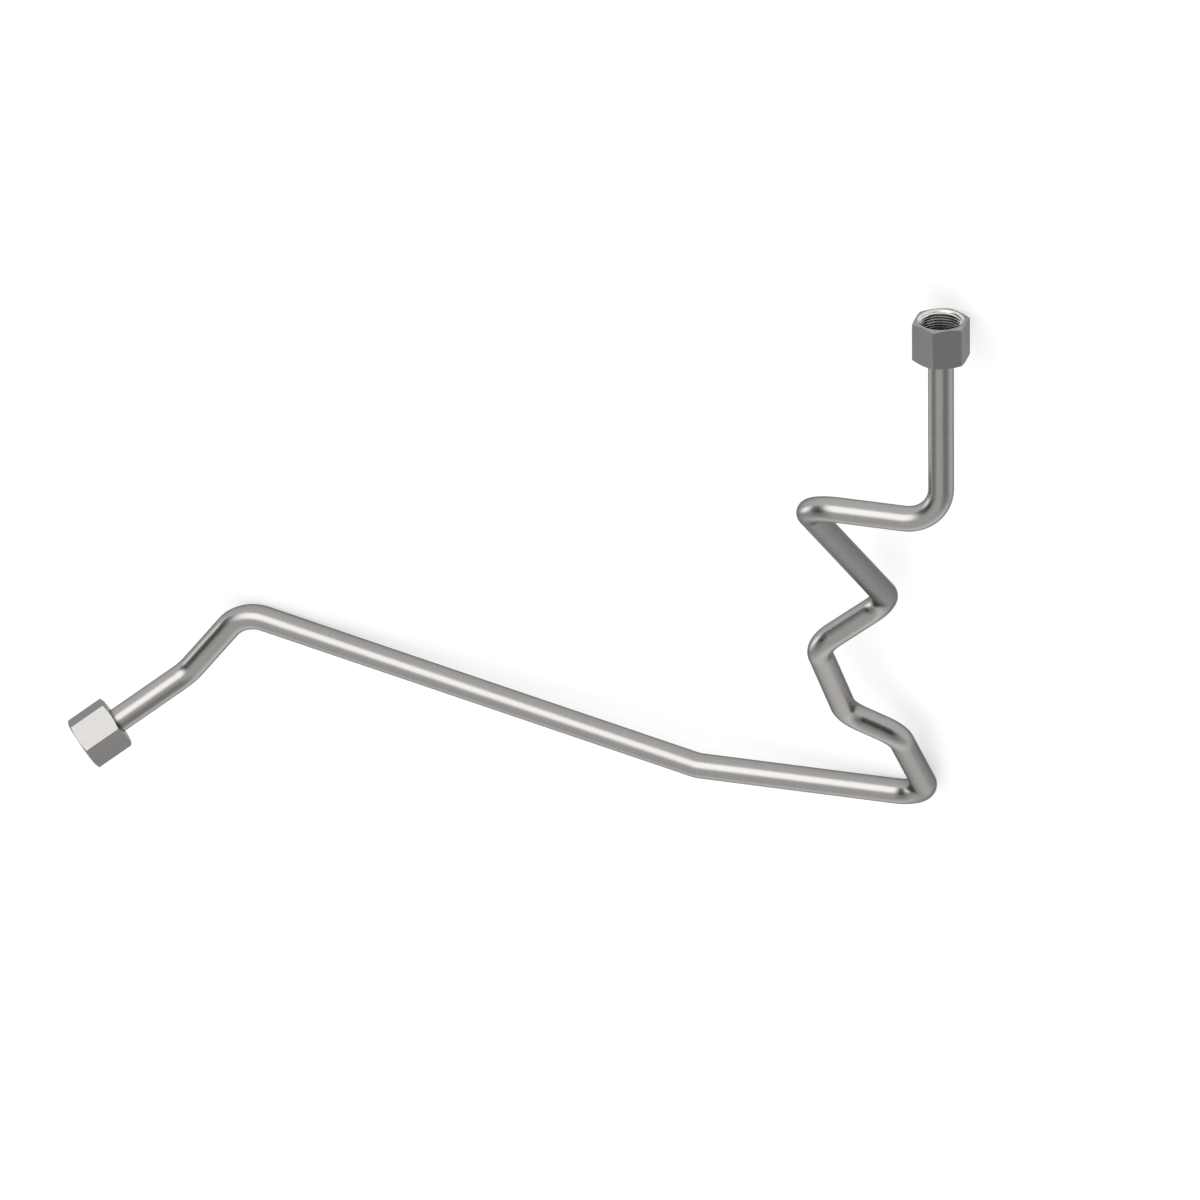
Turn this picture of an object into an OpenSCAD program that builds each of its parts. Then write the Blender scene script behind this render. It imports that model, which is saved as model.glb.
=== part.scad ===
// Bent tube assembly: a rigid steel line with flared ends and a captive union nut at each end.
// Millimetres, +Z up. The line is drawn in its fitted position and then laid down on its rest points.

/* [Tube] */
// Outside diameter of the tube
tube_od = 9.525; // [8:0.005:12]
// Wall thickness of the tube
tube_wall = 0.889; // [0.6:0.001:1.6]
// Centreline radius of every bend
bend_r = 14.3; // [13:0.1:18]
// How much the tube draws down in a bend, on the radius
draw_down = 0.01; // [0.005:0.005:0.1]
// How far the flare stands out past the outside of the tube
flare_lip = 1.39; // [0.8:0.01:2]

/* [Upper leg] */
// Riser, from the upper flare down to the first bend point
riser_len = 74; // [50:0.5:140]
// Top run, towards the left
top_len = 53.4; // [40:0.1:90]
// Long slope, distance towards the back
long_back = 116.2; // [60:0.1:160]
// Long slope, fall
long_fall = 94.4; // [60:0.1:140]

/* [Offset leg] */
// First jog, distance to the left
jog_left = 28.2; // [24:0.1:45]
// First jog, fall
jog_fall = 23.2; // [18:0.1:40]
// Middle slope, distance towards the back
mid_back = 38.8; // [30:0.1:60]
// Middle slope, fall
mid_fall = 46.2; // [36:0.1:70]
// Second jog, distance to the right
kick_right = 17.8; // [16:0.1:30]
// Second jog, distance towards the back
kick_back = 8.7; // [4:0.1:14]
// Second jog, fall
kick_fall = 11.5; // [9:0.1:20]
// Low slope, distance towards the back
low_back = 43.4; // [30:0.1:70]
// Low slope, fall
low_fall = 46.1; // [36:0.1:70]

/* [Lower leg] */
// Foot run, towards the left
foot_len = 90.5; // [50:0.1:140]
// Long sweep, distance to the left
sweep_left = 177.1; // [100:0.1:240]
// Long sweep, rise
sweep_rise = 40.2; // [20:0.1:60]
// Hook, distance to the left
hook_left = 21.6; // [18:0.1:40]
// Hook, fall
hook_fall = 28.5; // [22:0.1:50]
// Tail, from the last bend point to the lower flare
tail_len = 38.5; // [30:0.5:80]
// Tail, angle from the left towards the front
tail_swing = 30.2; // [10:0.1:50]
// Tail, angle below level
tail_dip = 32; // [10:0.1:60]

/* [Union nuts] */
// Major diameter of the nut thread
thread_major = 15.875; // [15:0.005:18]
// Depth of the thread, from its major to its minor diameter, on the radius
thread_depth = 0.573; // [0.3:0.001:0.9]
// Length of the threaded wall
thread_len = 7.4; // [5:0.1:12]
// Wall between the thread's major diameter and a hex flat
nut_wall = 1.5875; // [1.2:0.0005:4]
// Length of the nut
nut_len = 15.875; // [14:0.005:22]
// Countersink past the thread's major diameter, on the radius
csk_over = 0.65; // [0.2:0.01:0.9]
// Inset of the flat end faces from the hex flats
face_inset = 0.38; // [0.1:0.01:0.5]
// Angle of the chamfer on the hex corners
corner_angle = 20; // [10:1:35]
// Width of the relief groove behind the thread
relief_w = 1.2; // [0.6:0.1:2]
// Depth of the relief groove past the thread's major diameter, on the radius
relief_over = 0.15; // [0.05:0.01:0.4]
// Height of the seat's rim past the flare, on the radius
seat_rim = 0.45; // [0.2:0.01:0.7]
// Edge break at the back of the tube hole
back_break = 0.5; // [0.2:0.1:1]

/* [Fits] */
// Running clearance between the tube and the hole in the nut, on the radius
run_clear = 0.1; // [0.02:0.01:0.3]
// Gap between the flare and its seat, square to the cone
seat_gap = 0.15; // [0.05:0.01:0.3]

/* [Position] */
// Turn of the upper nut about its tube
upper_clock = 30; // [0:1:59]
// Turn of the lower nut about its tube
lower_clock = 45; // [0:1:59]
// Turns that lay the drawn line down on its rest points
lay_turn = [-122.58, 4.75, 180];
// Shift of the laid line, to its middle and up onto the floor
lay_shift = [-195.06, -116.63, 53.66];

/* [Hidden] */
$fn = 96;

tube_id = tube_od - 2*tube_wall;
nut_af = thread_major + 2*nut_wall;
thread_minor = thread_major - 2*thread_depth;

// The runs of the line in order, from the upper flare to the lower one
tail_dir = [-cos(tail_dip)*cos(tail_swing), -cos(tail_dip)*sin(tail_swing), -sin(tail_dip)];
runs = [
    [0, 0, -riser_len],
    [-top_len, 0, 0],
    [0, long_back, -long_fall],
    [-jog_left, 0, -jog_fall],
    [0, mid_back, -mid_fall],
    [kick_right, kick_back, -kick_fall],
    [0, low_back, -low_fall],
    [-foot_len, 0, 0],
    [-sweep_left, 0, sweep_rise],
    [-hook_left, 0, -hook_fall],
    tail_len*tail_dir,
];
last = len(runs) - 1;
upper_end = -runs[0];
function total(k) = k < 0 ? upper_end : total(k - 1) + runs[k];
lower_end = total(last);

function unit(v) = v/norm(v);
way = [for (r = runs) unit(r)];
// Angle of each bend, and the length that it takes from the run on either side
turn = [for (k = [0 : last - 1]) acos(way[k]*way[k + 1])];
setback = [for (a = turn) bend_r*tan(a/2)];
straight = [for (k = [0 : last])
    norm(runs[k]) - (k > 0 ? setback[k - 1] : 0) - (k < last ? setback[k] : 0)];
// Reach of each straight run into the bends beside it
run_in = 0.2;
// Reach of a cut past the face that it leaves through
over_cut = 1;
// The side to which each bend goes, before it and after it
inward = [for (k = [0 : last - 1]) unit(way[k + 1] - (way[k + 1]*way[k])*way[k])];
outward = [for (k = [0 : last - 1]) cos(turn[k])*inward[k] - sin(turn[k])*way[k]];
// Turn of each bend plane about the tube, from the bend before it
twist = [for (k = [0 : last - 1]) k == 0 ? 0
    : atan2(cross(outward[k - 1], inward[k])*way[k], outward[k - 1]*inward[k])];

// Placement with its origin at o, its Z along z and its X as near to x as it can be
function placed(o, z, x) = let(ex = unit(x - (x*z)*z), ey = cross(z, ex)) [
    [ex[0], ey[0], z[0], o[0]],
    [ex[1], ey[1], z[1], o[1]],
    [ex[2], ey[2], z[2], o[2]],
    [0, 0, 0, 1],
];

// Flare, measured along the axis from the tube's end
flare_r = tube_od/2 + flare_lip;
lip_fall = tube_wall*cos(45);
flare_fall = lip_fall + flare_lip;
flare_bore_fall = flare_r - lip_fall - tube_id/2;

// Nut, measured along the axis from the tube's end, up towards its mouth
hole_r = tube_od/2 + run_clear;
seat_r = flare_r + seat_rim;
function seat_z(r) = r - flare_r - lip_fall - seat_gap/cos(45);
thread_z = seat_z(seat_r) + relief_w;
csk_r = thread_major/2 + csk_over;
csk_z = thread_z + thread_len;
mouth_z = csk_z + csk_r - thread_minor/2;
back_z = mouth_z - nut_len;
corner_r = nut_af/2/cos(30);
face_r = nut_af/2 - face_inset;
corner_fall = (corner_r - face_r)*tan(corner_angle);

// Lays the fitted line down on its rest points
module laid() translate(lay_shift) rotate(lay_turn) children();

// Place at the far end of bend k
module past_bend(k) {
    translate([bend_r, 0, 0]) rotate([0, turn[k], 0]) translate([-bend_r, 0, 0]) children();
}

// Bend k of the tube, or of its bore, from +Z over towards +X
module elbow(k, bore) {
    translate([bend_r, 0, 0]) rotate([90, 0, 180])
        rotate_extrude(angle = turn[k])
            translate([bend_r, 0]) circle(r = (bore ? tube_id : tube_od)/2 - draw_down);
}

// Flared end of the tube, or of its bore, with the tube's end at the origin
module flare(bore) {
    rotate_extrude()
        polygon(bore ? [
            [0, -flare_bore_fall],
            [tube_id/2, -flare_bore_fall],
            [flare_r - lip_fall + over_cut, over_cut],
            [0, over_cut],
        ] : [
            [0, -flare_fall],
            [tube_od/2, -flare_fall],
            [flare_r, -lip_fall],
            [flare_r - lip_fall, 0],
            [0, 0],
        ]);
}

// Straight run k of the tube, or of its bore, along +Z, reaching a little into the bends beside it
module straight_run(k, bore) {
    from = k > 0 ? -run_in : 0;
    to = straight[k] + (k < last ? run_in : 0);
    translate([0, 0, from]) cylinder(d = bore ? tube_id : tube_od, h = to - from);
    if (k == 0) mirror([0, 0, 1]) flare(bore);
    if (k == last) translate([0, 0, straight[k]]) flare(bore);
}

// Run k of the tube, or of its bore, and all that comes after it
module line_from(k, bore) {
    straight_run(k, bore);
    if (k < last) translate([0, 0, straight[k]]) rotate([0, 0, twist[k]]) {
        elbow(k, bore);
        past_bend(k) line_from(k + 1, bore);
    }
}

// Union nut, mouth up, standing about the tube's end
module union_nut() {
    difference() {
        intersection() {
            translate([0, 0, back_z]) cylinder(r = corner_r, h = nut_len, $fn = 6);
            rotate_extrude()
                polygon([
                    [0, back_z],
                    [face_r, back_z],
                    [corner_r, back_z + corner_fall],
                    [corner_r, mouth_z - corner_fall],
                    [face_r, mouth_z],
                    [0, mouth_z],
                ]);
        }
        rotate_extrude()
            polygon([
                [0, back_z],
                [hole_r + back_break, back_z],
                [hole_r, back_z + back_break],
                [hole_r, seat_z(hole_r)],
                [seat_r, seat_z(seat_r)],
                [thread_major/2 + relief_over, seat_z(seat_r)],
                [thread_major/2 + relief_over, thread_z],
                [thread_minor/2, thread_z],
                [thread_minor/2, csk_z],
                [csk_r, mouth_z],
                [0, mouth_z],
            ]);
    }
}

// Tube, bent from one length
module bent_tube() {
    color("#9b9a96") laid()
        multmatrix(placed(upper_end, way[0], inward[0])) difference() {
            line_from(0, false);
            line_from(0, true);
        }
}

// Nut on the riser
module upper_nut() {
    color("#7d7c79") laid()
        multmatrix(placed(upper_end, -way[0], [1, 0, 0])) rotate([0, 0, upper_clock]) union_nut();
}

// Nut on the tail
module lower_nut() {
    color("#7d7c79") laid()
        multmatrix(placed(lower_end, way[last], [0, 0, 1])) rotate([0, 0, lower_clock]) union_nut();
}

bent_tube();
upper_nut();
lower_nut();
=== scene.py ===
"""Looks of the bent tube assembly: a drawn steel line with flared ends and two union nuts."""

import logging
import math
from dataclasses import dataclass, field
from enum import Enum

import bmesh
import bpy
from bmesh.types import BMEdge, BMesh, BMVert
from mathutils import Matrix, Vector


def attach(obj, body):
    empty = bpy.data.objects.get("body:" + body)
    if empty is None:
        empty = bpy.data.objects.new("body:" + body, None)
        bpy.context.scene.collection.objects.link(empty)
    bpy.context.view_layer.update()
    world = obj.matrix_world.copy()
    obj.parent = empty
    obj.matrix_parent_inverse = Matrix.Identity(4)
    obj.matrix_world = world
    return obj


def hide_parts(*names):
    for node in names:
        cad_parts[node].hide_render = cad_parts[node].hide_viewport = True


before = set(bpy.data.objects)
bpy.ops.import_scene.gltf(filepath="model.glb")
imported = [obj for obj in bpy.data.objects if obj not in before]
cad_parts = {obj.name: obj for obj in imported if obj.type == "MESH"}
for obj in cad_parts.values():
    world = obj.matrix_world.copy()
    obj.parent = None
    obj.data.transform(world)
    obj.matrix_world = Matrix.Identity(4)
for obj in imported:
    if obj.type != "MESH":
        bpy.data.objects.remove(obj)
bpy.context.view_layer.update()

LOG = logging.getLogger("bent_tube_assembly")
MM = 0.001
# Points nearer to each other than this are one point, and a cut takes in points this near to it,
# in millimetres
SEAM = 0.002
CUT_NEAR = 0.00001
# Attributes that the finishes read: the piece as if it were straight bar or tube, and the nut as
# it stood in the lathe
DRAWN = "drawn"
TURNED = "turned"
# Angle of the flare and its seat to the axis, and half the angle between two flats of a hexagon,
# in degrees
FLARE_ANGLE = 45.0
FLATS = 6
HALF_FLAT = 180.0 / FLATS
# Major diameter of the thread, and its depth on the radius, in millimetres
THREAD_MAJOR = 15.875
THREAD_DEPTH = 0.573

Colour = tuple[float, float, float]


class LineEnd(Enum):
    """The two ends of the line. The value is the name of the nut's body and CAD node."""

    UPPER = "upper_nut"
    LOWER = "lower_nut"


class Skin(Enum):
    """The two walls of the tube."""

    OUTSIDE = "outside"
    BORE = "bore"


class NutSurface(Enum):
    """The worked surfaces of a nut. The value is the slot of the surface's finish."""

    TURNED = 0
    FLAT = 1
    CUT = 2
    THREAD = 3


def placed(origin: Vector, z_way: Vector, x_way: Vector) -> Matrix:
    """Gives a placement with its Z along one direction and its X as near as it can be to another.

    Args:
        origin: Where the placement's origin lies.
        z_way: Direction of its Z.
        x_way: Direction that its X is nearest to.

    Returns:
        The placement as a 4 by 4 matrix.
    """
    z_axis = z_way.normalized()
    x_axis = (x_way - x_way.dot(z_axis) * z_axis).normalized()
    y_axis = z_axis.cross(x_axis)
    turn = Matrix((x_axis, y_axis, z_axis)).transposed().to_4x4()
    return Matrix.Translation(origin) @ turn


def towards(azimuth: float, elevation: float) -> Vector:
    """Gives the direction at an azimuth and elevation in degrees.

    Args:
        azimuth: Turn about Z, with 0 along -Y and 90 along +X.
        elevation: Height above the floor.

    Returns:
        The direction, of length 1.
    """
    a, e = math.radians(azimuth), math.radians(elevation)
    return Vector((math.sin(a) * math.cos(e), -math.cos(a) * math.cos(e), math.sin(e)))


def loop_edges(verts: list[BMVert]) -> list[BMEdge]:
    """Gives the edges that join the given vertices to each other."""
    ring = set(verts)
    return [e for e in {e for v in verts for e in v.link_edges} if set(e.verts) <= ring]


def mesh_object(bm: BMesh, name: str, materials: list[bpy.types.Material]) -> bpy.types.Object:
    """Makes a linked object of a finished bmesh, and frees the bmesh.

    Args:
        bm: The shape, in metres and in its place.
        name: Name of the object and its mesh.
        materials: The object's materials, in slot order.

    Returns:
        The new object, at the origin.
    """
    mesh = bpy.data.meshes.new(name)
    bm.to_mesh(mesh)
    bm.free()
    for material in materials:
        mesh.materials.append(material)
    piece = bpy.data.objects.new(name, mesh)
    bpy.context.scene.collection.objects.link(piece)
    return piece


def crease(bm: BMesh, angle: float) -> None:
    """Shades the whole shape smooth, apart from its sharp edges.

    Args:
        bm: The shape.
        angle: An edge is sharp where its faces turn by more than this, in degrees.
    """
    limit = math.radians(angle)
    for face in bm.faces:
        face.smooth = True
    for edge in bm.edges:
        edge.smooth = edge.calc_face_angle(0.0) < limit


class SteelGrain:
    """The shared shader node group of fine lines and broad handling marks on worked steel."""

    NAME = "steel_grain"
    # Layers of the fine lines, and how strongly each finer layer shows
    LINE_LAYERS = 3.0
    LINE_FINENESS = 0.6
    # Size of the broad marks against the fine lines, their layers, and their share of the tone
    BROAD = 0.045
    BROAD_LAYERS = 2.0
    BROAD_SHARE = 0.35

    @classmethod
    def group(cls) -> bpy.types.NodeTree:
        """Gives the group, and builds it the first time.

        Returns:
            A node group from a stretched vector to a colour, a roughness and a height.
        """
        tree = bpy.data.node_groups.get(cls.NAME)
        return tree or cls._build()

    @classmethod
    def _build(cls) -> bpy.types.NodeTree:
        """Builds the group's sockets and nodes.

        Returns:
            The new node group.
        """
        tree = bpy.data.node_groups.new(cls.NAME, "ShaderNodeTree")
        sockets = (
            ("Vector", "INPUT", "NodeSocketVector"),
            ("Low Tone", "INPUT", "NodeSocketColor"),
            ("High Tone", "INPUT", "NodeSocketColor"),
            ("Smoothest", "INPUT", "NodeSocketFloat"),
            ("Roughest", "INPUT", "NodeSocketFloat"),
            ("Colour", "OUTPUT", "NodeSocketColor"),
            ("Roughness", "OUTPUT", "NodeSocketFloat"),
            ("Height", "OUTPUT", "NodeSocketFloat"),
        )
        for name, way, kind in sockets:
            tree.interface.new_socket(name=name, in_out=way, socket_type=kind)
        nodes, link = tree.nodes, tree.links.new
        given = nodes.new("NodeGroupInput")
        result = nodes.new("NodeGroupOutput")

        lines = nodes.new("ShaderNodeTexNoise")
        lines.inputs["Scale"].default_value = 1.0
        lines.inputs["Detail"].default_value = cls.LINE_LAYERS
        lines.inputs["Roughness"].default_value = cls.LINE_FINENESS
        marks = nodes.new("ShaderNodeTexNoise")
        marks.inputs["Scale"].default_value = cls.BROAD
        marks.inputs["Detail"].default_value = cls.BROAD_LAYERS
        for texture in (lines, marks):
            link(given.outputs["Vector"], texture.inputs["Vector"])

        both = nodes.new("ShaderNodeMix")
        both.inputs["Factor"].default_value = cls.BROAD_SHARE
        link(lines.outputs["Fac"], both.inputs["A"])
        link(marks.outputs["Fac"], both.inputs["B"])

        tone = nodes.new("ShaderNodeMix")
        tone.data_type = "RGBA"
        link(both.outputs["Result"], tone.inputs["Factor"])
        colours = [s for s in tone.inputs if s.type == "RGBA"]
        link(given.outputs["Low Tone"], colours[0])
        link(given.outputs["High Tone"], colours[1])
        mixed = next(s for s in tone.outputs if s.type == "RGBA")
        link(mixed, result.inputs["Colour"])

        gloss = nodes.new("ShaderNodeMapRange")
        link(both.outputs["Result"], gloss.inputs["Value"])
        link(given.outputs["Smoothest"], gloss.inputs["To Min"])
        link(given.outputs["Roughest"], gloss.inputs["To Max"])
        link(gloss.outputs["Result"], result.inputs["Roughness"])
        link(lines.outputs["Fac"], result.inputs["Height"])
        return tree


@dataclass(frozen=True)
class PaintedGrooveShade:
    """Painted shade that darkens a thread from its crests down to its roots.

    Attributes:
        crest: Radius of the crests, in metres.
        root: Radius of the roots, in metres.
        left: Share of the tone that the painted shade leaves at the roots.
    """

    crest: float
    root: float
    left: float


@dataclass(frozen=True)
class SteelFinish:
    """A satin steel finish, with fine lines that follow the shape of the piece.

    Attributes:
        name: Name of the material.
        tone: Mean colour of the steel.
        spread: How far the tone goes to either side of the mean, as a share of it.
        roughness: Mean roughness.
        rough_spread: How far the roughness goes to either side of the mean.
        rim: Share of the reflection that is left where the surface turns away from the eye.
        place: The attribute that the lines follow.
        lines: Lines per metre along each axis of that attribute.
        depth: Depth of the lines, in metres.
        groove: Painted shade that darkens the steel down a thread, if it has one.
    """

    name: str
    tone: Colour
    spread: float
    roughness: float
    rough_spread: float
    rim: float
    place: str
    lines: tuple[float, float, float]
    depth: float
    groove: PaintedGrooveShade | None = None

    def material(self) -> bpy.types.Material:
        """Gives the finish's material, and builds it the first time.

        Returns:
            The material.
        """
        return bpy.data.materials.get(self.name) or self._build()

    def _build(self) -> bpy.types.Material:
        """Builds the material's nodes.

        Returns:
            The new material.
        """
        made = bpy.data.materials.new(self.name)
        made.use_nodes = True
        nodes, link = made.node_tree.nodes, made.node_tree.links.new
        steel = next(n for n in nodes if n.type == "BSDF_PRINCIPLED")
        steel.inputs["Metallic"].default_value = 1.0
        steel.inputs["Specular Tint"].default_value = (self.rim, self.rim, self.rim, 1.0)

        place = nodes.new("ShaderNodeAttribute")
        place.attribute_name = self.place
        stretch = nodes.new("ShaderNodeMapping")
        stretch.inputs["Scale"].default_value = self.lines
        link(place.outputs["Vector"], stretch.inputs["Vector"])

        grain = nodes.new("ShaderNodeGroup")
        grain.node_tree = SteelGrain.group()
        for socket, side in (("Low Tone", 1.0 - self.spread), ("High Tone", 1.0 + self.spread)):
            grain.inputs[socket].default_value = (*(c * side for c in self.tone), 1.0)
        grain.inputs["Smoothest"].default_value = self.roughness - self.rough_spread
        grain.inputs["Roughest"].default_value = self.roughness + self.rough_spread
        link(stretch.outputs["Vector"], grain.inputs["Vector"])
        colour = grain.outputs["Colour"]
        # Painted shade: a thread's colour darkens down towards its roots
        if self.groove:
            colour = self._paint_groove_shade(made.node_tree, place.outputs["Vector"], colour)
        link(colour, steel.inputs["Base Color"])
        link(grain.outputs["Roughness"], steel.inputs["Roughness"])

        relief = nodes.new("ShaderNodeBump")
        relief.inputs["Strength"].default_value = 1.0
        relief.inputs["Distance"].default_value = self.depth
        link(grain.outputs["Height"], relief.inputs["Height"])
        link(relief.outputs["Normal"], steel.inputs["Normal"])
        return made

    def _paint_groove_shade(
        self, tree: bpy.types.NodeTree, spot: bpy.types.NodeSocket, colour: bpy.types.NodeSocket
    ) -> bpy.types.NodeSocket:
        """Paints shade on a colour, darker from the crests of a thread down to its roots.

        Args:
            tree: The material's nodes.
            spot: The place in the lathe, with the radius as its X.
            colour: The colour to darken.

        Returns:
            The darkened colour.
        """
        parts = tree.nodes.new("ShaderNodeSeparateXYZ")
        tree.links.new(spot, parts.inputs[0])
        fall = tree.nodes.new("ShaderNodeMapRange")
        fall.inputs["From Min"].default_value = self.groove.crest
        fall.inputs["From Max"].default_value = self.groove.root
        fall.inputs["To Min"].default_value = 1.0
        fall.inputs["To Max"].default_value = self.groove.left
        tree.links.new(parts.outputs["X"], fall.inputs["Value"])
        dark = tree.nodes.new("ShaderNodeVectorMath")
        dark.operation = "SCALE"
        tree.links.new(colour, dark.inputs["Vector"])
        tree.links.new(fall.outputs["Result"], dark.inputs["Scale"])
        return dark.outputs["Vector"]


TUBE_FINISH = SteelFinish(
    name="drawn_tube_steel",
    tone=(0.343, 0.339, 0.335),
    spread=0.12,
    roughness=0.26,
    rough_spread=0.08,
    rim=0.3,
    place=DRAWN,
    lines=(180.0, 180.0, 950.0),
    depth=0.000003,
)
FLAT_FINISH = SteelFinish(
    name="drawn_hex_steel",
    tone=(0.301, 0.298, 0.295),
    spread=0.10,
    roughness=0.30,
    rough_spread=0.05,
    rim=0.48,
    place=DRAWN,
    lines=(1100.0, 1100.0, 60.0),
    depth=0.000002,
)
TURNED_FINISH = SteelFinish(
    name="turned_nut_steel",
    tone=(0.343, 0.339, 0.335),
    spread=0.10,
    roughness=0.24,
    rough_spread=0.05,
    rim=0.4,
    place=TURNED,
    lines=(5200.0, 1.0, 5200.0),
    depth=0.000002,
)
# Countersink and seat: over twice the turned steel's tone, partly the brighter cut surface and
# partly painted light
CUT_FINISH_PAINTED_LIGHT = SteelFinish(
    name="cut_seat_steel_painted_light",
    tone=(0.75, 0.742, 0.734),
    spread=0.06,
    roughness=0.22,
    rough_spread=0.04,
    rim=1.0,
    place=TURNED,
    lines=(5200.0, 1.0, 5200.0),
    depth=0.000002,
)
# Thread: its tone is painted near white as painted light in the bore, with painted shade down to
# the roots
THREAD_FINISH_PAINTED_LIGHT = SteelFinish(
    name="thread_steel_painted_light_and_shade",
    tone=(0.92, 0.91, 0.90),
    spread=0.06,
    roughness=0.22,
    rough_spread=0.04,
    rim=1.0,
    place=TURNED,
    lines=(5200.0, 1.0, 5200.0),
    depth=0.000002,
    groove=PaintedGrooveShade(
        crest=(THREAD_MAJOR / 2 - THREAD_DEPTH) * MM, root=THREAD_MAJOR / 2 * MM, left=0.14
    ),
)
NUT_FINISHES: dict[NutSurface, SteelFinish] = {
    NutSurface.TURNED: TURNED_FINISH,
    NutSurface.FLAT: FLAT_FINISH,
    NutSurface.CUT: CUT_FINISH_PAINTED_LIGHT,
    NutSurface.THREAD: THREAD_FINISH_PAINTED_LIGHT,
}


@dataclass
class BentLine:
    """The route of the tube, from the upper flare to the lower one, in millimetres and degrees.

    The runs are stated in the fitted position, and the line is then laid down on its rest points.
    """

    bend_radius: float = 14.3
    riser_len: float = 74.0
    top_len: float = 53.4
    long_back: float = 116.2
    long_fall: float = 94.4
    jog_left: float = 28.2
    jog_fall: float = 23.2
    mid_back: float = 38.8
    mid_fall: float = 46.2
    kick_right: float = 17.8
    kick_back: float = 8.7
    kick_fall: float = 11.5
    low_back: float = 43.4
    low_fall: float = 46.1
    foot_len: float = 90.5
    sweep_left: float = 177.1
    sweep_rise: float = 40.2
    hook_left: float = 21.6
    hook_fall: float = 28.5
    tail_len: float = 38.5
    tail_swing: float = 30.2
    tail_dip: float = 32.0
    lay_turn: tuple[float, float, float] = (-122.58, 4.75, 180.0)
    lay_shift: tuple[float, float, float] = (-195.06, -116.63, 53.66)

    @property
    def runs(self) -> list[Vector]:
        """The runs in order, each from one bend point to the next.

        Returns:
            The runs, in the fitted position.
        """
        swing, dip = math.radians(self.tail_swing), math.radians(self.tail_dip)
        level = math.cos(dip)
        tail = Vector((-level * math.cos(swing), -level * math.sin(swing), -math.sin(dip)))
        return [
            Vector((0.0, 0.0, -self.riser_len)),
            Vector((-self.top_len, 0.0, 0.0)),
            Vector((0.0, self.long_back, -self.long_fall)),
            Vector((-self.jog_left, 0.0, -self.jog_fall)),
            Vector((0.0, self.mid_back, -self.mid_fall)),
            Vector((self.kick_right, self.kick_back, -self.kick_fall)),
            Vector((0.0, self.low_back, -self.low_fall)),
            Vector((-self.foot_len, 0.0, 0.0)),
            Vector((-self.sweep_left, 0.0, self.sweep_rise)),
            Vector((-self.hook_left, 0.0, -self.hook_fall)),
            self.tail_len * tail,
        ]

    @property
    def ways(self) -> list[Vector]:
        """The direction of each run."""
        return [run.normalized() for run in self.runs]

    @property
    def laid(self) -> Matrix:
        """The placement that lays the fitted line down, and turns millimetres into metres.

        Returns:
            The placement as a 4 by 4 matrix.
        """
        x, y, z = (math.radians(a) for a in self.lay_turn)
        turn = Matrix.Rotation(z, 4, "Z") @ Matrix.Rotation(y, 4, "Y") @ Matrix.Rotation(x, 4, "X")
        return Matrix.Scale(MM, 4) @ Matrix.Translation(Vector(self.lay_shift)) @ turn

    def end(self, which: LineEnd) -> Vector:
        """Gives the middle of one end of the tube, in the fitted position."""
        start = -self.runs[0]
        return start if which is LineEnd.UPPER else sum(self.runs, start)

    def setback(self, bend: int) -> float:
        """Gives the length that a bend takes from the run on either side of it."""
        return self.bend_radius * math.tan(self.ways[bend].angle(self.ways[bend + 1]) / 2)

    def straight(self, run: int) -> float:
        """Gives the length of a run that is left straight between its bends.

        Args:
            run: Number of the run.

        Returns:
            The straight length.
        """
        length = self.runs[run].length
        if run > 0:
            length -= self.setback(run - 1)
        if run < len(self.runs) - 1:
            length -= self.setback(run)
        return length


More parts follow.
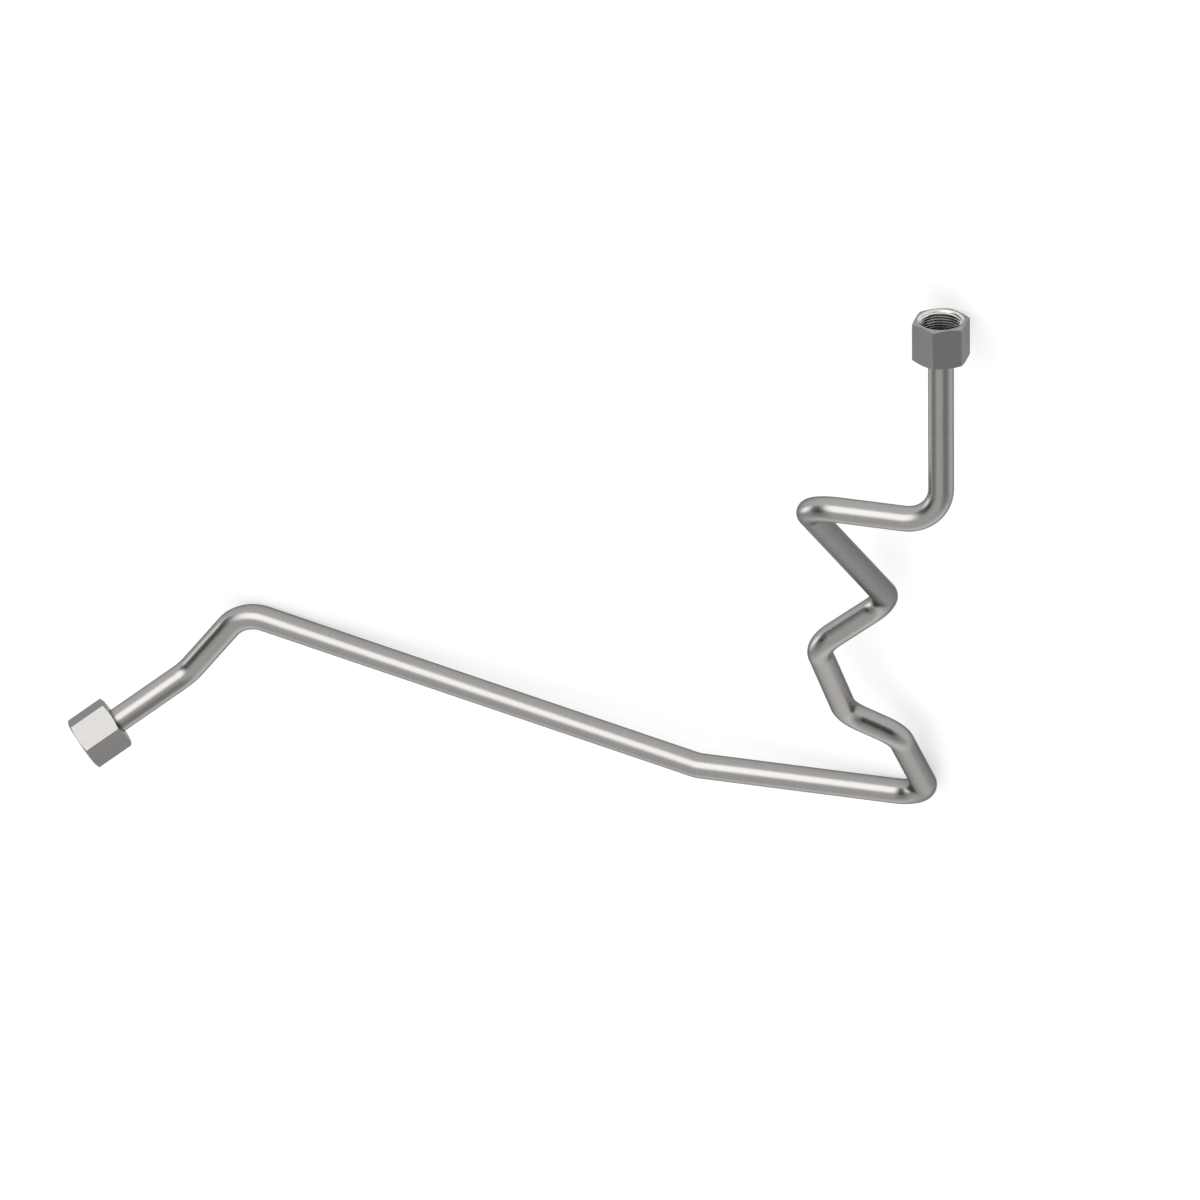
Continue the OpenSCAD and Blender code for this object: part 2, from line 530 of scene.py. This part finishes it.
@dataclass
class FlaredTube:
    """The tube, bent from one length and flared at both ends. Millimetres and degrees."""

    line: BentLine
    outside: float = 9.525
    wall: float = 0.889
    flare_lip: float = 1.39
    lip_break: float = 0.12
    sides: int = 72
    # The most that one step of a bend turns
    steps: dict[Skin, float] = field(default_factory=lambda: {Skin.OUTSIDE: 3.0, Skin.BORE: 9.0})
    # Length beside each bend that keeps the shading of the long straights true
    hold: float = 0.8
    # Edges sharper than these are broken at the lips, and shaded as edges
    lip_angle: float = 30.0
    edge_angle: float = 24.0

    @property
    def flare_radius(self) -> float:
        """The outside radius of the flare."""
        return self.outside / 2 + self.flare_lip

    @property
    def lip_fall(self) -> float:
        """The height of the flare's lip, which stands square to its cone."""
        return self.wall * math.cos(math.radians(FLARE_ANGLE))

    def flare(self, skin: Skin) -> list[tuple[float, float]]:
        """Gives the flare's section on one skin.

        Args:
            skin: The wall of the tube.

        Returns:
            Depth from the tube's end and radius, from the lip inwards.
        """
        mouth = self.flare_radius - self.lip_fall
        if skin is Skin.BORE:
            bore = self.outside / 2 - self.wall
            return [(0.0, mouth), (mouth - bore, bore)]
        root = self.lip_fall + self.flare_lip
        return [(0.0, mouth), (self.lip_fall, self.flare_radius), (root, self.outside / 2)]

    def build(self) -> bpy.types.Object:
        """Builds the tube, both walls in one closed mesh.

        Returns:
            The tube's object.
        """
        bm = bmesh.new()
        bm.verts.layers.float_vector.new(DRAWN)
        for skin in Skin:
            self._draw(bm, skin)
        bmesh.ops.remove_doubles(bm, verts=bm.verts[:], dist=SEAM)
        bmesh.ops.recalc_face_normals(bm, faces=bm.faces[:])
        limit = math.radians(self.lip_angle)
        lips = [e for e in bm.edges if e.calc_face_angle(0.0) > limit]
        bmesh.ops.bevel(
            bm, geom=lips, offset=self.lip_break, offset_type="OFFSET", segments=2,
            profile=0.5, affect="EDGES", material=-1,
        )
        crease(bm, self.edge_angle)
        bmesh.ops.transform(bm, matrix=self.line.laid, verts=bm.verts[:])
        return mesh_object(bm, "flared_tube", [TUBE_FINISH.material()])

    def _draw(self, bm: BMesh, skin: Skin) -> None:
        """Draws one skin of the tube along the whole line.

        Args:
            bm: The shape that takes the skin.
            skin: The wall to draw.
        """
        ways = self.line.ways
        last = len(ways) - 1
        section = self.flare(skin)
        centre = self.line.end(LineEnd.UPPER)
        start = placed(centre, ways[0], ways[1])
        radius = section[0][1]
        ring = bmesh.ops.create_circle(
            bm, cap_ends=False, segments=self.sides, radius=radius, matrix=start
        )["verts"]
        layer = bm.verts.layers.float_vector[DRAWN]
        back = start.inverted()
        for vert in ring:
            spot = back @ vert.co
            vert[layer] = Vector((spot.x, spot.y, 0.0)) * (self.outside / 2 / radius * MM)

        for (near, r_near), (far, r_far) in zip(section, section[1:]):
            ring = self._feed(bm, ring, centre, ways[0], far - near, r_far / r_near)
            centre = centre + ways[0] * (far - near)
        flare_len = section[-1][0]
        for k, way in enumerate(ways):
            length = self.line.straight(k)
            length -= flare_len if k in (0, last) else 0.0
            for part in (self.hold, length - 2 * self.hold, self.hold):
                ring = self._feed(bm, ring, centre, way, part, 1.0)
                centre = centre + way * part
            if k < last:
                ring, centre = self._bend(bm, ring, centre, k, self.steps[skin])
        for (far, r_far), (near, r_near) in zip(section[::-1], section[-2::-1]):
            ring = self._feed(bm, ring, centre, ways[last], far - near, r_near / r_far)
            centre = centre + ways[last] * (far - near)

    def _feed(
        self, bm: BMesh, ring: list[BMVert], centre: Vector, way: Vector, length: float, grow: float
    ) -> list[BMVert]:
        """Draws a ring of the tube straight on.

        Args:
            bm: The shape that holds the ring.
            ring: The ring's vertices.
            centre: The ring's centre.
            way: The direction to draw in.
            length: How far to draw.
            grow: The new ring's radius over the old one's.

        Returns:
            The new ring's vertices.
        """
        made = bmesh.ops.extrude_edge_only(bm, edges=loop_edges(ring))["geom"]
        verts = [g for g in made if isinstance(g, BMVert)]
        move = Matrix.Translation(centre + way * length) @ Matrix.Scale(grow, 4)
        bmesh.ops.transform(bm, matrix=move @ Matrix.Translation(-centre), verts=verts)
        self._pass_on(bm, verts, length)
        return verts

    def _bend(
        self, bm: BMesh, ring: list[BMVert], centre: Vector, bend: int, step: float
    ) -> tuple[list[BMVert], Vector]:
        """Draws a ring of the tube round a bend.

        Args:
            bm: The shape that holds the ring.
            ring: The ring's vertices.
            centre: The ring's centre.
            bend: Number of the bend.
            step: The most that one step turns, in degrees.

        Returns:
            The vertices and the centre of the ring after the bend.
        """
        way, onward = self.line.ways[bend], self.line.ways[bend + 1]
        turn = way.angle(onward)
        inward = (onward - onward.dot(way) * way).normalized()
        pivot = centre + inward * self.line.bend_radius
        axis = way.cross(inward)
        count = math.ceil(math.degrees(turn) / step)
        for _ in range(count):
            made = bmesh.ops.spin(
                bm, geom=ring + loop_edges(ring), cent=pivot, axis=axis, dvec=(0.0, 0.0, 0.0),
                angle=turn / count, steps=1, use_merge=False, use_duplicate=False,
            )["geom_last"]
            ring = [g for g in made if isinstance(g, BMVert)]
            self._pass_on(bm, ring, self.line.bend_radius * turn / count)
        return ring, pivot + Matrix.Rotation(turn, 3, axis) @ (centre - pivot)

    @staticmethod
    def _pass_on(bm: BMesh, ring: list[BMVert], length: float) -> None:
        """Moves a new ring's place on the straight tube on by a length.

        Args:
            bm: The shape that holds the ring.
            ring: The ring's vertices.
            length: How far the ring was drawn along the tube.
        """
        layer = bm.verts.layers.float_vector[DRAWN]
        for vert in ring:
            vert[layer] = vert[layer] + Vector((0.0, 0.0, length * MM))


@dataclass
class UnionNut:
    """A union nut, made from hexagon bar, about one end of the line. Millimetres and degrees.

    Heights run along the nut's axis from the tube's end, up towards the nut's mouth.
    """

    line: BentLine
    tube: FlaredTube
    which: LineEnd
    clock: float
    thread_major: float = THREAD_MAJOR
    thread_depth: float = THREAD_DEPTH
    thread_len: float = 7.4
    pitch: float = 1.0583
    # Length of a crest and of a flank along the axis, as shares of the pitch
    crest_share: float = 0.25
    flank_share: float = 0.3125
    # Turns that the thread is made longer by, below, before its ends are cut off square
    spare_turns: float = 1.5
    nut_wall: float = 1.5875
    length: float = 15.875
    csk_over: float = 0.65
    face_inset: float = 0.38
    corner_angle: float = 20.0
    relief_width: float = 1.2
    relief_over: float = 0.15
    seat_rim: float = 0.45
    back_break: float = 0.5
    run_clear: float = 0.1
    seat_gap: float = 0.15
    edge_break: float = 0.1
    # Radius of the turned blank past the hexagon's corners
    blank_over: float = 0.2
    # Width of the ring that joins each end of the thread to the turned section
    join_over: float = 0.1
    # Edges sharper than these are broken, and shaded as edges
    break_angle: float = 15.0
    edge_angle: float = 12.0
    sides: int = 96

    @property
    def flats(self) -> float:
        """The distance from the axis to a flat of the hexagon."""
        return self.thread_major / 2 + self.nut_wall

    @property
    def hole(self) -> float:
        """The radius of the hole for the tube."""
        return self.tube.outside / 2 + self.run_clear

    @property
    def seat(self) -> float:
        """The radius of the seat's rim."""
        return self.tube.flare_radius + self.seat_rim

    @property
    def minor(self) -> float:
        """The radius of the thread's crests."""
        return self.thread_major / 2 - self.thread_depth

    @property
    def csk(self) -> float:
        """The radius of the countersink at the mouth."""
        return self.thread_major / 2 + self.csk_over

    @property
    def thread_low(self) -> float:
        """The height of the thread's inner end."""
        return self.seat_height(self.seat) + self.relief_width

    @property
    def csk_low(self) -> float:
        """The height at which the countersink meets the thread's crests."""
        return self.thread_low + self.thread_len

    @property
    def mouth(self) -> float:
        """The height of the mouth's face."""
        return self.csk_low + self.csk - self.minor

    def seat_height(self, radius: float) -> float:
        """Gives the height of the seat's cone at a radius."""
        gap = self.seat_gap / math.cos(math.radians(FLARE_ANGLE))
        return radius - self.tube.flare_radius - self.tube.lip_fall - gap

    def csk_radius(self, height: float) -> float:
        """Gives the radius of the countersink's cone at a height."""
        return self.minor + height - self.csk_low

    def section(self) -> list[tuple[float, float]]:
        """Gives the turned section of the nut, from the relief groove round to the countersink.

        Returns:
            Radius and height of each corner.
        """
        back = self.mouth - self.length
        face = self.flats - self.face_inset
        blank = self.flats / math.cos(math.radians(HALF_FLAT)) + self.blank_over
        fall = (blank - face) * math.tan(math.radians(self.corner_angle))
        relief = self.thread_major / 2 + self.relief_over
        join = self.thread_major / 2 + 2 * self.join_over
        return [
            (relief, self.thread_low - self.join_over),
            (relief, self.seat_height(self.seat)),
            (self.seat, self.seat_height(self.seat)),
            (self.hole, self.seat_height(self.hole)),
            (self.hole, back + self.back_break),
            (self.hole + self.back_break, back),
            (face, back),
            (blank, back + fall),
            (blank, self.mouth - fall),
            (face, self.mouth),
            (self.csk, self.mouth),
            (join, self.csk_low + join - self.minor),
        ]

    def build(self) -> bpy.types.Object:
        """Builds the nut with its thread, about its end of the tube.

        Returns:
            The nut's object.
        """
        bm = bmesh.new()
        self._turn(bm)
        self._mill(bm)
        self._break_edges(bm)
        self._cut_thread(bm)
        bmesh.ops.recalc_face_normals(bm, faces=bm.faces[:])
        crease(bm, self.edge_angle)
        self._mark(bm)
        self._sort_finishes(bm)
        bmesh.ops.transform(bm, matrix=self.line.laid @ self._stand(), verts=bm.verts[:])
        finishes = [NUT_FINISHES[surface].material() for surface in NutSurface]
        return mesh_object(bm, f"threaded_{self.which.value}", finishes)

    def _stand(self) -> Matrix:
        """Gives the nut's place on the fitted line, turned to its clock angle.

        Returns:
            The placement as a 4 by 4 matrix.
        """
        ways = self.line.ways
        if self.which is LineEnd.UPPER:
            axis, beside = -ways[0], Vector((1.0, 0.0, 0.0))
        else:
            axis, beside = ways[-1], Vector((0.0, 0.0, 1.0))
        turn = Matrix.Rotation(math.radians(self.clock), 4, "Z")
        return placed(self.line.end(self.which), axis, beside) @ turn

    def _turn(self, bm: BMesh) -> None:
        """Turns the nut's section round its axis.

        Args:
            bm: The shape of the nut.
        """
        corners = [bm.verts.new((r, 0.0, z)) for r, z in self.section()]
        profile = [bm.edges.new(pair) for pair in zip(corners, corners[1:])]
        bmesh.ops.spin(
            bm, geom=corners + profile, cent=(0.0, 0.0, 0.0), axis=(0.0, 0.0, 1.0),
            dvec=(0.0, 0.0, 0.0), angle=2 * math.pi, steps=self.sides, use_merge=True,
            use_duplicate=False,
        )

    def _mill(self, bm: BMesh) -> None:
        """Cuts the flats of the hexagon on the turned blank.

        Args:
            bm: The shape of the nut.
        """
        for k in range(FLATS):
            angle = math.radians(HALF_FLAT + 2 * HALF_FLAT * k)
            out = Vector((math.cos(angle), math.sin(angle), 0.0))
            cut = bmesh.ops.bisect_plane(
                bm, geom=bm.verts[:] + bm.edges[:] + bm.faces[:], dist=CUT_NEAR,
                plane_co=out * self.flats, plane_no=out, clear_outer=True, clear_inner=False,
            )["geom_cut"]
            rim = [g for g in cut if isinstance(g, BMEdge) and g.is_boundary]
            made = bmesh.ops.contextual_create(bm, geom=rim)["faces"]
            for flat in made:
                flat.material_index = NutSurface.FLAT.value

    def _break_edges(self, bm: BMesh) -> None:
        """Takes the sharpness off the nut's corners and rims.

        Args:
            bm: The shape of the nut.
        """
        limit = math.radians(self.break_angle)
        sharp = [
            e for e in bm.edges if len(e.link_faces) == 2 and e.calc_face_angle(0.0) > limit
        ]
        bmesh.ops.bevel(
            bm, geom=sharp, offset=self.edge_break, offset_type="OFFSET", segments=2,
            profile=0.5, affect="EDGES", material=-1, clamp_overlap=True,
        )

    def _cut_thread(self, bm: BMesh) -> None:
        """Cuts the thread, and joins it to the relief groove and the countersink.

        Args:
            bm: The shape of the nut.
        """
        rims = [e for e in bm.edges if e.is_boundary]
        top = self.csk_low + self.thread_depth + self.join_over
        crest, flank = self.pitch * self.crest_share, self.pitch * self.flank_share
        major = self.thread_major / 2
        low = self.thread_low - self.pitch * self.spare_turns
        tooth = [
            (self.minor, 0.0),
            (self.minor, crest),
            (major, crest + flank),
            (major, self.pitch - flank),
            (self.minor, self.pitch),
        ]
        turns = math.ceil((top - low) / self.pitch) + 1
        cutter = bmesh.new()
        corners = [cutter.verts.new((r, 0.0, low + z)) for r, z in tooth]
        profile = [cutter.edges.new(pair) for pair in zip(corners, corners[1:])]
        bmesh.ops.spin(
            cutter, geom=corners + profile, cent=(0.0, 0.0, 0.0), axis=(0.0, 0.0, 1.0),
            dvec=(0.0, 0.0, self.pitch / self.sides), angle=2 * math.pi * turns,
            steps=self.sides * turns, use_merge=False, use_duplicate=False,
        )
        bmesh.ops.remove_doubles(cutter, verts=cutter.verts[:], dist=SEAM)
        for height, side in ((self.thread_low, -1.0), (top, 1.0)):
            bmesh.ops.bisect_plane(
                cutter, geom=cutter.verts[:] + cutter.edges[:] + cutter.faces[:], dist=CUT_NEAR,
                plane_co=(0.0, 0.0, height), plane_no=(0.0, 0.0, side), clear_outer=True,
            )
        for vert in cutter.verts:
            radius = vert.co.xy.length
            vert.co.xy *= max(radius, self.csk_radius(vert.co.z)) / radius
        worked = bpy.data.meshes.new("thread_cutter")
        cutter.to_mesh(worked)
        cutter.free()
        bm.from_mesh(worked)
        bpy.data.meshes.remove(worked)
        known = set(rims)
        ends = [e for e in bm.edges if e.is_boundary and e not in known]
        middle = (self.thread_low + top) / 2
        for above in (False, True):
            pair = [e for e in rims + ends if (e.verts[0].co.z > middle) is above]
            bmesh.ops.bridge_loops(bm, edges=pair)

    def _mark(self, bm: BMesh) -> None:
        """Writes down where each point was on the bar and in the lathe, for the finishes.

        Args:
            bm: The shape of the nut.
        """
        drawn = bm.verts.layers.float_vector.new(DRAWN)
        turned = bm.verts.layers.float_vector.new(TURNED)
        for vert in bm.verts:
            vert[drawn] = vert.co * MM
            vert[turned] = Vector((vert.co.xy.length, 0.0, vert.co.z)) * MM

    def _sort_finishes(self, bm: BMesh) -> None:
        """Gives the countersink and the seat cut steel with painted light, and the thread its own
        with painted light and shade.

        Args:
            bm: The shape of the nut.
        """
        for face in bm.faces:
            middle = face.calc_center_median()
            if middle.xy.length < self.csk and middle.z > self.seat_height(self.hole):
                threaded = self.thread_low < middle.z < self.csk_low
                surface = NutSurface.THREAD if threaded else NutSurface.CUT
                face.material_index = surface.value


@dataclass(frozen=True)
class Glow:
    """A soft patch of the studio, brighter or darker than what is round it.

    Attributes:
        azimuth: Direction of its middle, in degrees round from -Y towards +X.
        elevation: Height of its middle, in degrees.
        core: Angle from the middle that it fills evenly, in degrees.
        reach: Angle from the middle at which it ends, in degrees.
        gain: Light that it adds, or takes away.
    """

    azimuth: float
    elevation: float
    core: float
    reach: float
    gain: float


@dataclass
class Studio:
    """The floor, the soft light and the camera. Metres and degrees."""

    floor_size: float = 8.0
    floor_tone: Colour = (0.7, 0.7, 0.7)
    # Light of the floor's own, where it is looked at, that makes it white
    floor_glow: float = 0.45
    # Strength of the dome's light at its top and at floor level, and its colour
    zenith: float = 0.89
    horizon: float = 0.75
    warmth: Colour = (1.0, 0.985, 0.965)
    glows: tuple[Glow, ...] = (
        Glow(azimuth=14.0, elevation=22.0, core=16.0, reach=40.0, gain=2.05),
        Glow(azimuth=63.0, elevation=28.0, core=10.0, reach=30.0, gain=-0.71),
        Glow(azimuth=-66.0, elevation=21.0, core=9.0, reach=31.0, gain=-0.67),
        Glow(azimuth=97.0, elevation=50.0, core=6.0, reach=28.0, gain=-0.41),
        Glow(azimuth=-99.0, elevation=39.0, core=6.0, reach=32.0, gain=-0.38),
        Glow(azimuth=98.0, elevation=-4.0, core=8.0, reach=30.0, gain=2.40),
        Glow(azimuth=180.0, elevation=5.0, core=25.0, reach=55.0, gain=0.70),
    )
    # The point that the camera looks at, the side it looks from, and its turn about that line
    aim: tuple[float, float, float] = (-0.02275, 0.05165, 0.02173)
    azimuth: float = -19.214
    elevation: float = 27.318
    roll: float = -159.350
    distance: float = 20.0
    # Width of the view at that point, and of the sensor in millimetres
    frame_width: float = 0.44531
    sensor: float = 36.0

    def build(self) -> None:
        """Builds the floor, the light and the camera."""
        bpy.context.scene.view_settings.view_transform = "Standard"
        self._floor()
        self._light()
        self._camera()

    def _floor(self) -> None:
        """Lays the pale floor, which looks white and keeps the object's shadow."""
        bm = bmesh.new()
        bmesh.ops.create_grid(bm, x_segments=1, y_segments=1, size=self.floor_size / 2)
        mesh_object(bm, "floor", [self._floor_finish()])

    def _floor_finish(self) -> bpy.types.Material:
        """Builds the floor's material, white to the eye, in gloss and through glass.

        Returns:
            The material.
        """
        made = bpy.data.materials.new("pale_floor")
        made.use_nodes = True
        nodes, link = made.node_tree.nodes, made.node_tree.links.new
        nodes.clear()
        path = nodes.new("ShaderNodeLightPath")
        seen = path.outputs["Is Camera Ray"]
        for other in ("Is Glossy Ray", "Is Transmission Ray"):
            either = nodes.new("ShaderNodeMath")
            either.operation = "MAXIMUM"
            link(seen, either.inputs[0])
            link(path.outputs[other], either.inputs[1])
            seen = either.outputs[0]
        lift = nodes.new("ShaderNodeMath")
        lift.operation = "MULTIPLY"
        lift.inputs[1].default_value = self.floor_glow
        link(seen, lift.inputs[0])
        white = nodes.new("ShaderNodeEmission")
        link(lift.outputs[0], white.inputs["Strength"])
        plain = nodes.new("ShaderNodeBsdfDiffuse")
        plain.inputs["Color"].default_value = (*self.floor_tone, 1.0)
        both = nodes.new("ShaderNodeAddShader")
        link(white.outputs[0], both.inputs[0])
        link(plain.outputs[0], both.inputs[1])
        result = nodes.new("ShaderNodeOutputMaterial")
        link(both.outputs[0], result.inputs["Surface"])
        return made

    def _light(self) -> None:
        """Lights the studio with an even dome and its soft patches."""
        world = bpy.data.worlds.new("studio")
        bpy.context.scene.world = world
        world.use_nodes = True
        nodes, link = world.node_tree.nodes, world.node_tree.links.new
        sky = next(n for n in nodes if n.type == "BACKGROUND")
        sky.inputs["Color"].default_value = (*self.warmth, 1.0)
        way = nodes.new("ShaderNodeTexCoord").outputs["Generated"]

        parts = nodes.new("ShaderNodeSeparateXYZ")
        link(way, parts.inputs[0])
        dome = nodes.new("ShaderNodeMapRange")
        dome.inputs["To Min"].default_value = self.horizon
        dome.inputs["To Max"].default_value = self.zenith
        link(parts.outputs["Z"], dome.inputs["Value"])
        total = dome.outputs["Result"]
        for glow in self.glows:
            near = nodes.new("ShaderNodeVectorMath")
            near.operation = "DOT_PRODUCT"
            near.inputs[1].default_value = towards(glow.azimuth, glow.elevation)
            link(way, near.inputs[0])
            patch = nodes.new("ShaderNodeMapRange")
            patch.interpolation_type = "SMOOTHSTEP"
            patch.inputs["From Min"].default_value = math.cos(math.radians(glow.reach))
            patch.inputs["From Max"].default_value = math.cos(math.radians(glow.core))
            patch.inputs["To Max"].default_value = glow.gain
            link(near.outputs["Value"], patch.inputs["Value"])
            both = nodes.new("ShaderNodeMath")
            link(total, both.inputs[0])
            link(patch.outputs["Result"], both.inputs[1])
            total = both.outputs[0]
        link(total, sky.inputs["Strength"])

    def _camera(self) -> None:
        """Places the camera, far off with a long lens, turned as the picture is."""
        lens = bpy.data.cameras.new("camera")
        lens.sensor_width = self.sensor
        lens.lens = self.sensor * self.distance / self.frame_width
        lens.clip_end = 2 * self.distance
        camera = bpy.data.objects.new("camera", lens)
        back = towards(self.azimuth, self.elevation)
        level = (-back).to_track_quat("-Z", "Y").to_matrix().to_4x4()
        roll = Matrix.Rotation(math.radians(self.roll), 4, "Z")
        stand = Matrix.Translation(Vector(self.aim) + back * self.distance)
        camera.matrix_world = stand @ level @ roll
        bpy.context.scene.collection.objects.link(camera)
        bpy.context.scene.camera = camera


# Turn of each nut about its tube, in degrees
CLOCKS: dict[LineEnd, float] = {LineEnd.UPPER: 30.0, LineEnd.LOWER: 45.0}


def main() -> None:
    """Builds the tube, the nuts and the studio."""
    logging.basicConfig(level=logging.INFO, format="%(message)s")
    line = BentLine()
    tube = FlaredTube(line)
    drawn = tube.build()
    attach(drawn, "tube")
    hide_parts("bent_tube")
    LOG.info("%s: %d faces", drawn.name, len(drawn.data.polygons))
    for which, clock in CLOCKS.items():
        nut = UnionNut(line, tube, which, clock).build()
        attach(nut, which.value)
        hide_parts(which.value)
        LOG.info("%s: %d faces", nut.name, len(nut.data.polygons))
    Studio().build()


if __name__ == "__main__":
    main()
